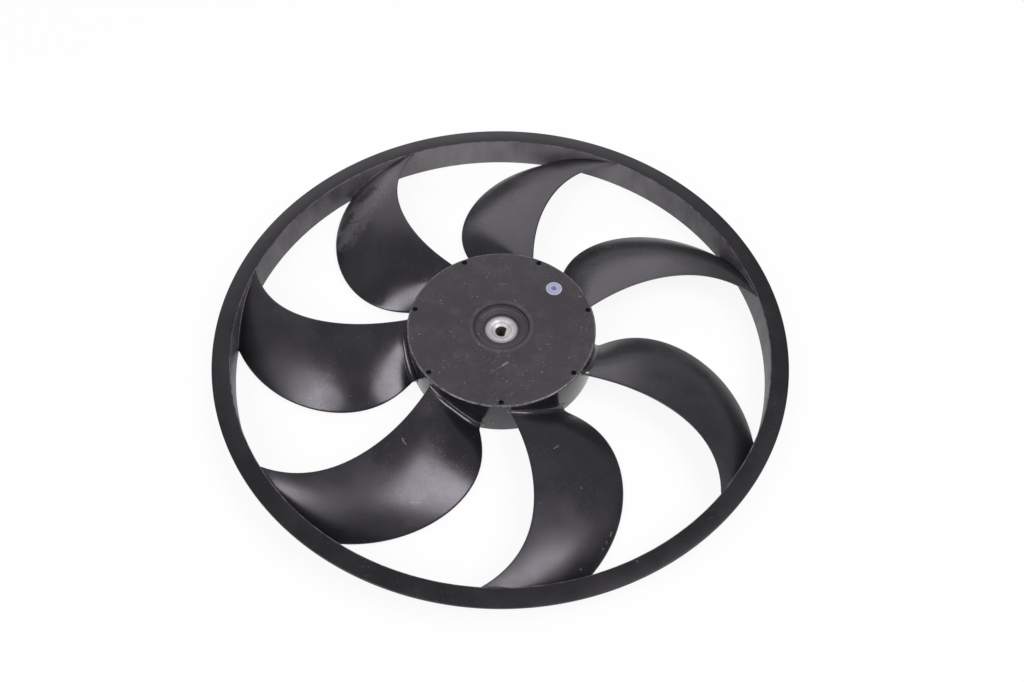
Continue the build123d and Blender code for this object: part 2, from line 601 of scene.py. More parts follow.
class Paintbox:
    """Node tree of one material, with the few nodes that the finishes share."""

    def __init__(self, name: str) -> None:
        """Starts an empty material with its shader and Object coordinates.

        Args:
            name: name of the material.
        """
        self.material = bpy.data.materials.new(name)
        self.tree = blank_tree(self.material)
        self.shader = add_node(self.tree, "ShaderNodeBsdfPrincipled")
        add_node(self.tree, "ShaderNodeOutputMaterial", {"Surface": self.shader.outputs[0]})
        self.place = add_node(self.tree, "ShaderNodeTexCoord").outputs["Object"]

    def mapped(self, scale: Point = (1, 1, 1), centre: Point = (0, 0, 0)) -> Socket:
        """Object coordinates, scaled or reckoned from a centre in metres."""
        return add_node(self.tree, "ShaderNodeMapping",
                        {"Vector": self.place, "Scale": scale,
                         "Location": tuple(-c for c in centre)},
                        vector_type="POINT").outputs[0]

    def noise(self, kind: Noise, vector: Socket | None = None) -> Wire:
        """Noise value, on Object coordinates unless a vector is given."""
        scale, detail, rough = kind
        return Wire(self.tree, add_node(self.tree, "ShaderNodeTexNoise",
                                        {"Vector": vector or self.place, "Scale": scale,
                                         "Detail": detail, "Roughness": rough}).outputs[0])

    def axes(self, vector: Socket | None = None) -> tuple[Wire, Wire, Wire]:
        """The three coordinates, one by one."""
        return coordinates(self.tree, vector or self.place)

    def blend(self, share: Wire, first: Socket | Point, second: Socket | Point) -> Socket:
        """Mixes two colours.

        Args:
            share: how much of the second colour shows.
            first: socket or plain colour.
            second: socket or plain colour.

        Returns:
            The socket of the mix.
        """
        factor, first_input, second_input = 0, 6, 7
        feeds = {factor: share}
        for place, colour in ((first_input, first), (second_input, second)):
            feeds[place] = colour if isinstance(colour, Socket) else (*colour, 1)
        return add_node(self.tree, "ShaderNodeMix", feeds, data_type="RGBA").outputs[2]

    def finish(self, colour: Socket, rough: Wire | float, relief: Wire,
               depth: float) -> Material:
        """Sends colour, roughness and relief to the shader.

        Args:
            colour: the colour.
            rough: the roughness.
            relief: height of the relief, from 0 to 1.
            depth: full height of the relief in metres.

        Returns:
            The material.
        """
        bump = add_node(self.tree, "ShaderNodeBump",
                        {"Strength": 1.0, "Distance": depth, "Height": relief})
        for key, value in (("Base Color", colour), ("Roughness", rough),
                           ("Normal", bump.outputs[0])):
            feed(self.tree, self.shader.inputs[key], value)
        return self.material


@dataclass(frozen=True)
class Cloud:
    """Noise cut to a soft-edged pattern.

    `edges` are the values of the noise between which it runs from the first of `levels`
    to the second.
    """

    noise: Noise
    edges: Pair
    levels: Pair = (0.0, 1.0)

    def wire(self, box: Paintbox) -> Wire:
        """The pattern in a finish."""
        return box.noise(self.noise).band(*self.edges, *self.levels)


@dataclass(frozen=True)
class Hoop:
    """Thin line round the shaft axis: full within `core` of its radius, gone at `fade`."""

    radius: float
    core: float
    fade: float
    strength: float

    def wire(self, r: Wire) -> Wire:
        """The line, from the distance to the axis."""
        off = (r - self.radius * MM).math("ABSOLUTE")
        return off.band(self.core * MM, self.fade * MM, self.strength, 0.0)


@dataclass(frozen=True)
class Mark:
    """One scratch, nick, rub, stain, pale film or painted highlight: a soft torn stroke as seen
    from above.

    `width` is its reach to each side and `core` the share of it at full strength.
    `fray` bends the edge by up to `ragged`, `tear` thins the stroke out, and `dulling` is
    what it adds to the roughness.
    """

    start: Pair
    end: Pair
    width: float
    tone: Point = (0.3, 0.29, 0.32)
    strength: float = 0.7
    ragged: float = 0.5
    dulling: float = 0.1
    core: float = 0.2
    fray: Noise = (260.0, 5.0, 0.7)
    tear: Cloud = Cloud((1100.0, 3.0, 0.7), (0.36, 0.56), (0.3, 1.0))

    def mask(self, box: Paintbox) -> Wire:
        """Works out where the stroke lies.

        Args:
            box: node tree of the finish it is in.

        Returns:
            A value of `strength` along the stroke, falling to 0 at its width.
        """
        x, y, _ = box.axes()
        shortest = 0.01
        length = max(math.dist(self.start, self.end), shortest)
        ux, uy = ((b - a) / length for a, b in zip(self.start, self.end))
        dx, dy = x - self.start[0] * MM, y - self.start[1] * MM
        run = (dx * ux + dy * uy).math("MAXIMUM", 0.0).math("MINIMUM", length * MM)
        off = across(dx - run * ux, dy - run * uy)
        off = off + (box.noise(self.fray) - 0.5) * (self.ragged * MM * 2.0)
        return off.band(self.width * MM * self.core, self.width * MM, self.strength,
                        0.0) * self.tear.wire(box)


@dataclass
class Layers:
    """Colour, roughness and relief of a finish while it is built up."""

    colour: Socket
    rough: Wire
    relief: Wire


@dataclass(frozen=True)
class BlackPlastic:
    """Black moulded plastic with grain, faint clouding, dust, and marks of use and painted
    highlights.
    """

    name: str
    tone: Point = (0.0095, 0.009, 0.0105)
    worn: Point = (0.014, 0.0133, 0.0155)
    clouding: Noise = (28.0, 5.0, 0.62)
    worn_edges: Pair = (0.35, 0.7)
    rough_edges: Pair = (0.3, 0.7)
    rough: float = 0.27
    rough_spread: float = 0.06
    mottle: Noise = (420.0, 3.0, 0.6)
    mottle_share: float = 1.6
    sheen_tint: Point = (0.96, 0.9, 1.0)
    index: float = 1.52
    grain: Noise = (1500.0, 3.0, 0.6)
    grain_depth: float = 0.000005
    dust: float = 0.1
    dust_tone: Point = (0.3, 0.29, 0.31)
    dust_dulling: float = 0.2
    specks: Cloud = Cloud((900.0, 2.0, 0.5), (0.64, 0.74))
    speck_patches: Cloud = Cloud((60.0, 2.0, 0.5), (0.4, 0.6))
    marks: tuple[Mark, ...] = ()

    def zones(self, box: Paintbox, layers: Layers) -> None:
        """Changes the layers from zone to zone; here nothing."""

    def make(self) -> Material:
        """Builds the material."""
        box = Paintbox(self.name)
        cloud, mottle = box.noise(self.clouding), box.noise(self.mottle)
        low, high = self.rough - self.rough_spread, self.rough + self.rough_spread
        layers = Layers(
            box.blend(cloud.band(*self.worn_edges), self.tone, self.worn),
            cloud.band(*self.rough_edges, low, high)
            + (mottle - 0.5) * (self.rough_spread * self.mottle_share),
            box.noise(self.grain))
        self.zones(box, layers)
        for mark in self.marks:
            mask = mark.mask(box)
            layers.colour = box.blend(mask, layers.colour, mark.tone)
            layers.rough = layers.rough + mask * mark.dulling
        specks = self.specks.wire(box) * self.speck_patches.wire(box)
        colour = box.blend(specks * self.dust, layers.colour, self.dust_tone)
        box.shader.inputs["IOR"].default_value = self.index
        box.shader.inputs["Specular Tint"].default_value = (*self.sheen_tint, 1)
        return box.finish(colour, layers.rough + specks * self.dust_dulling, layers.relief,
                          self.grain_depth)


@dataclass(frozen=True)
class BladePlastic(BlackPlastic):
    """The blades' plastic, glossier at the root and duller where dust rubs the tips."""

    index: float = 1.65
    reach: Pair = (85.0, 165.0)
    dulling: Pair = (-0.06, 0.08)

    def zones(self, box: Paintbox, layers: Layers) -> None:
        """Dulls the plastic from root to tip."""
        x, y, _ = box.axes()
        layers.rough = layers.rough + across(x, y).band(*(r * MM for r in self.reach),
                                                        *self.dulling)


@dataclass(frozen=True)
class HubPlastic(BlackPlastic):
    """The hub's plastic: eroded matte face, glossy rim and skirt, a pale worn rim partly painted as
    a highlight, painted highlights on the dish's lip, painted shade on its step, and gate dimples
    painted black as shade.

    A pair of lengths is the radius or the height between which a zone fades in or out.
    """

    tone: Point = (0.0205, 0.019, 0.022)
    worn: Point = (0.028, 0.026, 0.0295)
    rough: float = 0.56
    grain_depth: float = 0.000014
    dust: float = 0.5
    specks: Cloud = Cloud((800.0, 2.0, 0.5), (0.64, 0.74))
    rub: Point = (0.044, 0.0385, 0.0375)
    rubs: Cloud = Cloud((70.0, 4.0, 0.6), (0.45, 0.7), (0.0, 0.7))
    pore: Point = (0.06, 0.057, 0.063)
    pores: Cloud = Cloud((2300.0, 2.0, 0.6), (0.5, 0.7), (0.0, 0.5))
    face_rise: Pair = (27.98, 28.07)
    dish_fall: Pair = (30.0, 31.0)
    gloss_tone: Point = (0.011, 0.0105, 0.012)
    gloss_rough: float = 0.17
    # The rim's pale edge is partly wear and partly a painted highlight on its rounding.
    rim_height: Pair = (27.2, 27.65)
    rim_reach: Pair = (61.2, 61.9)
    rim_wear_and_highlight: Cloud = Cloud((340.0, 4.0, 0.65), (0.35, 0.62), (0.15, 1.0))
    rim_wear_and_highlight_tone: Point = (0.13, 0.124, 0.135)
    # Painted shade: a dark ring along the dish's step.
    step: Hoop = Hoop(18.3, 0.2, 0.9, 0.85)
    step_shade_tone: Point = (0.006, 0.0058, 0.0066)
    # Painted highlights: pale rings on the dish's lip and ledge, broken up by noise.
    lip: Hoop = Hoop(20.3, 0.2, 1.6, 0.55)
    ledge: Hoop = Hoop(15.6, 0.1, 0.5, 0.6)
    lip_highlight_breakup: Cloud = Cloud((120.0, 4.0, 0.65), (0.38, 0.62), (0.25, 1.0))
    lip_highlight_tone: Point = (0.085, 0.08, 0.084)
    # Painted shade: the gate dimples darkened nearly to black.
    pit_rise: Pair = (57.2, 57.6)
    pit_fall: Pair = (61.5, 61.9)
    pit_depth: Pair = (27.6, 27.95)
    pit_shade_tone: Point = (0.002, 0.002, 0.002)
    pit_rough: float = 0.9

    def zones(self, box: Paintbox, layers: Layers) -> None:
        """Keeps the matte grain on the face and the dish, paints the rim's edge paler as wear and
        painted highlight, paints highlights on the dish's lip and shade on its step, and blackens
        the dimples as painted shade.

        Args:
            box: node tree of the finish.
            layers: layers of the matte face, changed in place.
        """
        x, y, z = box.axes()
        r = across(x, y)
        face = z.rise(*self.face_rise).math("MAXIMUM", r.fall(*self.dish_fall))
        rim = z.rise(*self.rim_height) * r.rise(*self.rim_reach) * self.rim_wear_and_highlight.wire(box)
        lip = self.lip.wire(r).math("MAXIMUM", self.ledge.wire(r)) * self.lip_highlight_breakup.wire(box)
        pit = z.fall(*self.pit_depth) * (r.rise(*self.pit_rise) * r.fall(*self.pit_fall))
        colour = box.blend(self.rubs.wire(box), layers.colour, self.rub)
        colour = box.blend(self.pores.wire(box), colour, self.pore)
        colour = box.blend(face, self.gloss_tone, colour)
        # Pale rim edge: partly wear, partly a painted highlight.
        colour = box.blend(rim, colour, self.rim_wear_and_highlight_tone)
        # Painted shade along the dish's step.
        colour = box.blend(self.step.wire(r), colour, self.step_shade_tone)
        # Painted highlight on the dish's lip and ledge.
        colour = box.blend(lip, colour, self.lip_highlight_tone)
        # Painted shade: the gate dimples darkened nearly to black.
        layers.colour = box.blend(pit, colour, self.pit_shade_tone)
        rough = (layers.rough - self.gloss_rough) * face + self.gloss_rough
        layers.rough = rough.math("MAXIMUM", pit * self.pit_rough)
        layers.relief = layers.relief * face


@dataclass(frozen=True)
class RingPlastic(BlackPlastic):
    """The ring's plastic: dark flange, and an inner wall greyed by dust and moulding and partly as
    painted light.
    """

    tone: Point = (0.009, 0.0085, 0.0098)
    worn: Point = (0.0125, 0.0118, 0.0136)
    rough: float = 0.33
    index: float = 1.46
    wall_reach: Pair = (180.6, 180.9)
    wall_head: Pair = (23.2, 23.5)
    # The inner wall's grey is dust streaks and partly painted light.
    wall_dust_and_light_tone: Point = (0.098, 0.092, 0.098)
    wall_rough: float = 0.5
    streak: Noise = (1.0, 4.0, 0.6)
    streak_scale: Point = (110.0, 110.0, 45.0)
    streak_levels: tuple[float, ...] = (0.3, 0.7, 0.5, 1.0)
    # Painted light: the far side of the inner wall is lightened further, in patches.
    far_side_light_tone: Point = (0.2, 0.188, 0.197)
    far_side_light_from: Pair = (120.0, 178.0)
    far_side_light_share: float = 0.6
    far_side_light_patches: Cloud = Cloud((45.0, 4.0, 0.6), (0.3, 0.6), (0.5, 1.0))
    # Painted highlight: a pale line along the flange's inner edge, broken up by noise.
    lip: Hoop = Hoop(178.2, 0.2, 0.6, 1.0)
    lip_highlight_breakup: Cloud = Cloud((160.0, 4.0, 0.65), (0.4, 0.6), (0.15, 0.8))
    lip_highlight_tone: Point = (0.13, 0.124, 0.134)

    def zones(self, box: Paintbox, layers: Layers) -> None:
        """Greys the inner wall by dust and partly as painted light, lightens its far side further
        as painted light, and paints a highlight along the flange's inner edge.

        Args:
            box: node tree of the finish.
            layers: layers of the flange, changed in place.
        """
        x, y, z = box.axes()
        r = across(x, y)
        # Inner wall greyed by dust streaks and partly as painted light.
        wall = r.fall(*self.wall_reach) * z.fall(*self.wall_head)
        streaks = box.noise(self.streak, box.mapped(scale=self.streak_scale))
        dust_and_light_film = box.blend(streaks.band(*self.streak_levels), layers.colour, self.wall_dust_and_light_tone)
        # Painted light: the far side of the inner wall is lightened further, in patches.
        far_side_light = y.band(*(v * MM for v in self.far_side_light_from), 0.0, self.far_side_light_share)
        dust_and_light_film = box.blend(far_side_light * self.far_side_light_patches.wire(box), dust_and_light_film, self.far_side_light_tone)
        # Painted highlight along the flange's inner edge, broken up by noise.
        lip = self.lip.wire(r) * self.lip_highlight_breakup.wire(box)
        layers.colour = box.blend(wall, box.blend(lip, layers.colour, self.lip_highlight_tone), dust_and_light_film)
        layers.rough = layers.rough + (layers.rough * -1.0 + self.wall_rough) * wall


@dataclass(frozen=True)
class TurnedMetal:
    """Pale grey metal, faced in a lathe, with its bore painted dark as shade."""

    name: str = "bush_metal"
    tone: Point = (0.68, 0.655, 0.68)
    dull: Point = (0.42, 0.405, 0.42)
    ring_scale: float = 1400.0
    rings: Noise = (1.0, 3.0, 0.7)
    ring_edges: Pair = (0.35, 0.65)
    grit: Noise = (1700.0, 3.0, 0.6)
    grit_levels: tuple[float, ...] = (0.45, 0.65, 0.0, 0.8)
    groove: Hoop = Hoop(6.6, 0.1, 0.4, 0.7)
    margin: Point = (0.25, 0.24, 0.25)
    margin_rise: Pair = (9.2, 9.7)
    margin_share: float = 0.75
    stain: Point = (0.5, 0.46, 0.26)
    stain_mark: Mark = Mark((4.9, -3.4), (5.6, -1.6), 1.7, strength=0.75, ragged=0.8)
    # Painted shade: the bore darkened, with faint ridges.
    bore_shade: Point = (0.02, 0.014, 0.012)
    bore_fall: Pair = (4.15, 4.4)
    bore_head: Pair = (21.3, 21.7)
    ridge_pitch: float = 5200.0
    ridge_levels: tuple[float, ...] = (-1.0, 1.0, 0.8, 1.0)
    metallic: float = 0.5
    rough_levels: tuple[float, ...] = (0.3, 0.7, 0.38, 0.58)
    turning_pitch: float = 7800.0
    turning_share: float = 0.5
    relief_depth: float = 0.000012

    def make(self) -> Material:
        """Builds the material."""
        box = Paintbox(self.name)
        x, y, z = box.axes()
        r = across(x, y)
        by_radius = add_node(box.tree, "ShaderNodeCombineXYZ", {"X": r * self.ring_scale})
        rings = box.noise(self.rings, by_radius.outputs[0])
        grit = box.noise(self.grit)
        bore = r.fall(*self.bore_fall) * z.fall(*self.bore_head)
        ridges = (z * self.ridge_pitch).math("SINE").band(*self.ridge_levels)
        colour = box.blend(rings.band(*self.ring_edges), self.tone, self.dull)
        colour = box.blend(grit.band(*self.grit_levels), colour, self.dull)
        colour = box.blend(self.groove.wire(r), colour, self.margin)
        colour = box.blend(r.rise(*self.margin_rise) * self.margin_share, colour, self.margin)
        colour = box.blend(self.stain_mark.mask(box), colour, self.stain)
        # Painted shade: the bore darkened, with faint ridges.
        colour = box.blend(bore * ridges, colour, self.bore_shade)
        feed(box.tree, box.shader.inputs["Metallic"], bore * -self.metallic + self.metallic)
        rough = grit.band(*self.rough_levels).math("MAXIMUM", bore)
        turning = (r * self.turning_pitch).math("SINE")
        return box.finish(colour, rough, turning * self.turning_share + grit, self.relief_depth)


@dataclass(frozen=True)
class DotPaper:
    """Pale blue paper of the inspection dot, inked darker in the middle.

    Its centre is in metres, and so is how far the ink strays over the whole noise.
    """

    name: str = "dot_paper"
    centre: Point = (0.03506, 0.0319, 0.0281)
    pale: Point = (0.37, 0.365, 0.5)
    worn: Point = (0.2, 0.2, 0.3)
    worn_levels: tuple[float, ...] = (0.4, 0.7, 0.0, 0.4)
    wobble: Noise = (900.0, 3.0, 0.5)
    ink: Point = (0.06, 0.055, 0.15)
    ink_fall: Pair = (1.2, 2.4)
    ink_stray: float = 0.004
    ink_share: float = 0.8
    hoop: Hoop = Hoop(3.7, 0.2, 0.8, 0.3)
    hoop_stray: float = 0.002
    rough: float = 0.6
    relief_depth: float = 0.00001

    def make(self) -> Material:
        """Builds the material."""
        box = Paintbox(self.name)
        x, y, _ = box.axes(box.mapped(centre=self.centre))
        r = across(x, y)
        wobble = box.noise(self.wobble)
        inked = (r + (wobble - 0.5) * self.ink_stray).fall(*self.ink_fall)
        hoop = self.hoop.wire(r + (wobble - 0.5) * self.hoop_stray)
        paper = box.blend(wobble.band(*self.worn_levels), self.pale, self.worn)
        colour = box.blend(inked.math("MAXIMUM", hoop) * self.ink_share, paper, self.ink)
        return box.finish(colour, self.rough, wobble, self.relief_depth)


# ---- the pieces ----


@dataclass
class RimRing:
    """Flanged ring round the blade tips. Both sides of its wall flare downwards."""

    outer_r: float = 190.0
    height: float = 23.6
    flange_w: float = 12.0
    flange_t: float = 1.8
    wall_t: float = 2.2
    wall_flare: float = 1.9
    inner_flare: float = 1.3
    segments: int = 360
    smooth_deg: float = 24.0

    @property
    def wall_r(self) -> float:
        """Inner radius of the wall at its head."""
        return self.outer_r - self.flange_w

    def outline(self) -> Outline:
        """Rounded section of the ring, in metres."""
        under = self.height - self.flange_t
        out = self.wall_r + self.wall_t
        return rounded((
            (self.wall_r, self.height, 0.45), (self.outer_r, self.height, 0.55),
            (self.outer_r, under, 0.35),
            (out + self.wall_flare * self.flange_t / self.height, under, 0.9),
            (out + self.wall_flare, 0, 0.45), (self.wall_r + self.inner_flare, 0, 0.45)))

    def build(self, skin: Material) -> Object:
        """Turns the ring and dresses it."""
        mesh = turned_mesh("rim_ring", self.outline(), self.segments)
        return add_piece("rim_ring", mesh, self.smooth_deg, skin)


@dataclass
class HubCup:
    """Closed hub cup with its boss, ribs, stepped dish and gate dimples."""

    radius: float = 62.7
    height: float = 28.1
    flare: float = 0.5
    skirt_t: float = 2.8
    face_t: float = 3.0
    rim: float = 1.2
    boss_r: float = 16.5
    boss_draft: float = 0.6
    boss_foot: float = 8.0
    rib_t: float = 2.2
    rib_h: float = 8.0
    rib_sunk: float = 0.4
    lip_r: float = 21.8
    lip_drop: float = 0.45
    dish_r: float = 18.3
    dish_step: float = 1.1
    ledge_w: float = 1.6
    ledge_step: float = 0.5
    floor_r: float = 12.3
    bush_r: float = 10.9
    bush_top: float = 23.8
    bush_lip: float = 0.9
    dimple_r: float = 1.8
    dimple_depth: float = 2.4
    dimple_inset: float = 3.2
    dimple_lag_deg: float = 24.53
    cutter_over: float = 1.0
    nub_r: float = 0.75
    nub_shift: float = 0.75
    nub_drop: float = 1.0
    nub_sunk: float = 0.2
    nub_edge: float = 0.3
    smooth_deg: float = 26.0

    def skirt(self, z: float) -> float:
        """Outer radius of the skirt at height z."""
        return self.radius + self.flare * (1 - z / self.height)

    def outline(self) -> Outline:
        """Rounded section of the cup, in metres."""
        ceiling = self.height - self.face_t
        step = self.height - self.lip_drop - self.dish_step
        ledge_r = self.dish_r - self.ledge_w
        return rounded((
            (self.bush_r, self.bush_top, 0), (self.floor_r, self.bush_top, 0.2),
            (self.floor_r, self.bush_top + self.bush_lip, 0.3),
            (ledge_r, step - self.ledge_step, 0.2), (ledge_r, step, 0.2),
            (self.dish_r, step, 0.3), (self.dish_r, self.height - self.lip_drop, 0.4),
            (self.lip_r, self.height, 6.0), (self.skirt(self.height), self.height, self.rim),
            (self.skirt(0), 0, 0.5), (self.skirt(0) - self.skirt_t, 0, 0.5),
            (self.skirt(ceiling) - self.skirt_t, ceiling, 1.5), (self.boss_r, ceiling, 1.2),
            (self.boss_r - self.boss_draft, self.boss_foot, 0.5),
            (self.bush_r, self.boss_foot, 0)), steps=6)

    def rib(self) -> Mesh:
        """One rib under the face, from the boss to the skirt, at angle 0."""
        ceiling = self.height - self.face_t
        half, foot, head = self.rib_t / 2, ceiling - self.rib_h, ceiling + self.rib_sunk
        section = rounded(((-half, head, 0), (-half, foot, 0.5), (half, foot, 0.5),
                           (half, head, 0)))
        ends = (self.boss_r - self.boss_draft - self.rib_sunk,
                self.skirt(foot) - self.skirt_t / 2)
        bm = bmesh.new()
        rings = [[bm.verts.new((x * MM, y, z)) for y, z in section] for x in ends]
        for face in joined(rings, closed=False) + rings:
            bm.faces.new(face)
        return outward_mesh("rib", bm)

    def plug(self, radius: float, centre: float, heights: Pair, edge: float = 0.0) -> Mesh:
        """Small upright round plug at angle 0.

        Args:
            radius: its radius.
            centre: its distance from the shaft axis.
            heights: heights of its foot and its head.
            edge: rounding of its head.

        Returns:
            A closed mesh.
        """
        low, high = heights
        section = rounded(((0, low, 0), (radius, low, 0), (radius, high, edge), (0, high, 0)),
                          steps=4)
        mesh = turned_mesh("plug", section, segments=28)
        mesh.transform(Matrix.Translation((centre * MM, 0, 0)))
        return mesh

    def build(self, skin: Material, pattern: RoundPattern, count: int,
              first_deg: float) -> list[Object]:
        """Makes the cup, its ribs and its dimples.

        Args:
            skin: finish of the hub.
            pattern: tree that sets copies round the axis.
            count: number of ribs and of dimples.
            first_deg: angle of the first rib, which the first dimple lags behind.

        Returns:
            The cup, the ribs and the dimples' nubs.
        """
        cup = add_object("hub_cup", turned_mesh("hub_cup", self.outline()))
        centre, floor = self.radius - self.dimple_inset, self.height - self.dimple_depth
        dimple_deg = first_deg - self.dimple_lag_deg
        plug = self.plug(self.dimple_r, centre, (floor, self.height + self.cutter_over))
        cutter = pattern.lay("dimple_cutter", plug, count, dimple_deg, skin)
        cut = cup.modifiers.new("dimples", "BOOLEAN")
        cut.operation, cut.solver, cut.object = "DIFFERENCE", "EXACT", cutter
        baked(cup, self.smooth_deg)
        bpy.data.objects.remove(cutter)
        dress(cup, skin)
        nub = self.plug(self.nub_r, centre + self.nub_shift,
                        (floor - self.nub_sunk, self.height - self.nub_drop), self.nub_edge)
        nubs = pattern.lay("dimple_nubs", nub, count, dimple_deg, skin)
        ribs = pattern.lay("hub_ribs", self.rib(), count, first_deg, skin)
        return [cup, ribs, nubs]


@dataclass
class FanBlades:
    """The swept blades between hub and ring.

    The fillets at the root grow from lead to trail within shares of the chord, and those
    at the tip from the leading edge on.
    """

    hub: HubCup
    ring: RimRing
    count: int = 7
    first_deg: float = 90.0
    lead_z: float = 22.6
    trail_z: float = 3.6
    trail_drop: float = 1.2
    edge_t: float = 1.2
    mid_t: float = 2.6
    root_camber: float = 0.4
    tip_camber: float = 0.55
    lead_sweep: tuple[float, ...] = (-19.57, 37.3, -89.66, 87.88, -44.57)
    trail_sweep: tuple[float, ...] = (13.15, 57.46, -168.17, 141.78, -54.93)
    nose: float = 0.014
    nose_steps: int = 6
    bunching: float = 0.12
    lead_fillet: float = 2.0
    root_fillet: float = 3.8
    root_grows: Pair = (0.0, 0.4)
    trail_fillet: float = 5.2
    trail_grows: Pair = (0.5, 0.98)
    under_fillet: float = 2.4
    tip_fillet: float = 1.5
    lead_tip_fillet: float = 0.25
    tip_grows: Pair = (0.0, 0.16)
    sunk: float = 0.9
    chord_steps: int = 40
    span_steps: int = 44
    round_steps: int = 7
    sleeve_width: float = 50.0
    smooth_deg: float = 32.0

    def sizes(self) -> dict[str, float]:
        """Named inputs of the blade's form, in metres and degrees."""
        hub, ring = self.hub, self.ring
        lengths = {"Hub Radius": hub.radius, "Hub Flare": hub.flare, "Hub Height": hub.height,
                   "Wall Radius": ring.wall_r, "Wall Flare": ring.inner_flare,
                   "Ring Height": ring.height, "Lead Height": self.lead_z,
                   "Trail Height": self.trail_z, "Trail Drop": self.trail_drop,
                   "Edge Thickness": self.edge_t, "Middle Thickness": self.mid_t,
                   "Span": ring.wall_r + ring.wall_flare / 2 - hub.radius}
        sizes = {key: value * MM for key, value in lengths.items()}
        sizes |= {"Root Camber": self.root_camber, "Tip Camber": self.tip_camber}
        for label, sweep in (("Lead", self.lead_sweep), ("Trail", self.trail_sweep)):
            sizes |= {f"{label} Sweep {k}": term for k, term in enumerate(sweep)}
        return sizes

    def loop(self) -> list[Pair]:
        """Chord share and side of each point round one section, both edges rounded."""
        turn = [math.pi / 2 * k / self.nose_steps for k in range(self.nose_steps + 1)]
        nose = [(self.nose * (1 - math.cos(a)), math.sin(a)) for a in turn]
        first, last = math.pi * self.bunching, math.pi * (1 - self.bunching)
        skin = []
        for k in range(1, self.chord_steps):
            angle = first + (last - first) * k / self.chord_steps
            share = 0.5 - 0.5 * math.cos(angle) / math.cos(first)
            skin.append((self.nose + (1 - 2 * self.nose) * share, 1.0))
        upper = nose + skin + [(1 - chord, side) for chord, side in reversed(nose)]
        return upper + [(chord, -side) for chord, side in reversed(upper[1:-1])]

    def stations(self) -> list[tuple[str, float]]:
        """Rows of the sleeve from root to tip, each a kind and a share of its stretch."""
        turn = [math.pi / 2 * k / self.round_steps for k in range(self.round_steps)]
        rows = [("root_sunk", 0.0)] + [("root", a) for a in turn]
        rows += [("middle", k / self.span_steps) for k in range(self.span_steps + 1)]
        return rows + [("tip", a) for a in reversed(turn)] + [("tip_sunk", 0.0)]

    def marks(self, kind: str, share: float, chord: float, side: float) -> dict[str, float]:
        """Marks of one point of the sleeve.

        Args:
            kind: kind of its row.
            share: angle in the fillet, or share of the span between the fillets.
            chord: share of the chord.
            side: 1 on the upper skin, -1 on the lower one, which keeps smaller fillets.

        Returns:
            All marks that the blade's form reads.
        """
        root = eased(chord, *self.root_grows, self.lead_fillet, self.root_fillet)
        root = eased(chord, *self.trail_grows, root, self.trail_fillet)
        root = eased(side, -1.0, 1.0, min(root, self.under_fillet), root)
        tip = eased(chord, *self.tip_grows, self.lead_tip_fillet, self.tip_fillet)
        along, root_off, tip_off, lift = share, root, tip, 0.0
        if kind != "middle":
            at_root = kind.startswith("root")
            radius = root if at_root else tip
            off, lift = radius * (1 - math.cos(share)), radius * (1 - math.sin(share))
            if kind.endswith("sunk"):
                off, lift = -self.sunk, radius
            along, root_off, tip_off = (0.0, off, 0.0) if at_root else (1.0, 0.0, off)
        return {"chord": chord, "side": side, "along": along, "root_off": root_off * MM,
                "tip_off": tip_off * MM, "fillet": lift * MM}

    def sleeve(self) -> Mesh:
        """Closed sleeve of faces, laid out flat, that carries the marks of one blade."""
        loop, rows = self.loop(), self.stations()
        count = len(loop)
        points = [(row * MM, chord * self.sleeve_width * MM, side * MM)
                  for row in range(len(rows)) for chord, side in loop]
        marks = [self.marks(*row, *place) for row in rows for place in loop]
        rings = [list(range(row * count, (row + 1) * count)) for row in range(len(rows))]
        faces = joined(rings, closed=False)
        for ring, step in ((rings[0], 1), (rings[-1], -1)):
            caps = (each_once([ring[k], ring[k + 1], ring[-k - 1], ring[-k]])[::step]
                    for k in range(count // 2))
            faces += [cap for cap in caps if len(cap) > 2]
        mesh = bpy.data.meshes.new("blade_sleeve")
        mesh.from_pydata(points, [], faces)
        for key in BladeForm.MARKS:
            values = [mark[key] for mark in marks]
            mesh.attributes.new(key, "FLOAT", "POINT").data.foreach_set("value", values)
        return mesh

    def build(self, skin: Material, pattern: RoundPattern) -> Object:
        """Forms one blade and sets its copies round the hub.

        Args:
            skin: finish of the blades.
            pattern: tree that sets copies round the axis.

        Returns:
            One object with all the blades.
        """
        bm = bmesh.new()
        bm.from_mesh(BladeForm("blade_form", self.sizes()).shape(self.sleeve()))
        return pattern.lay("fan_blades", outward_mesh("blade", bm), self.count,
                           self.first_deg, skin, self.smooth_deg)


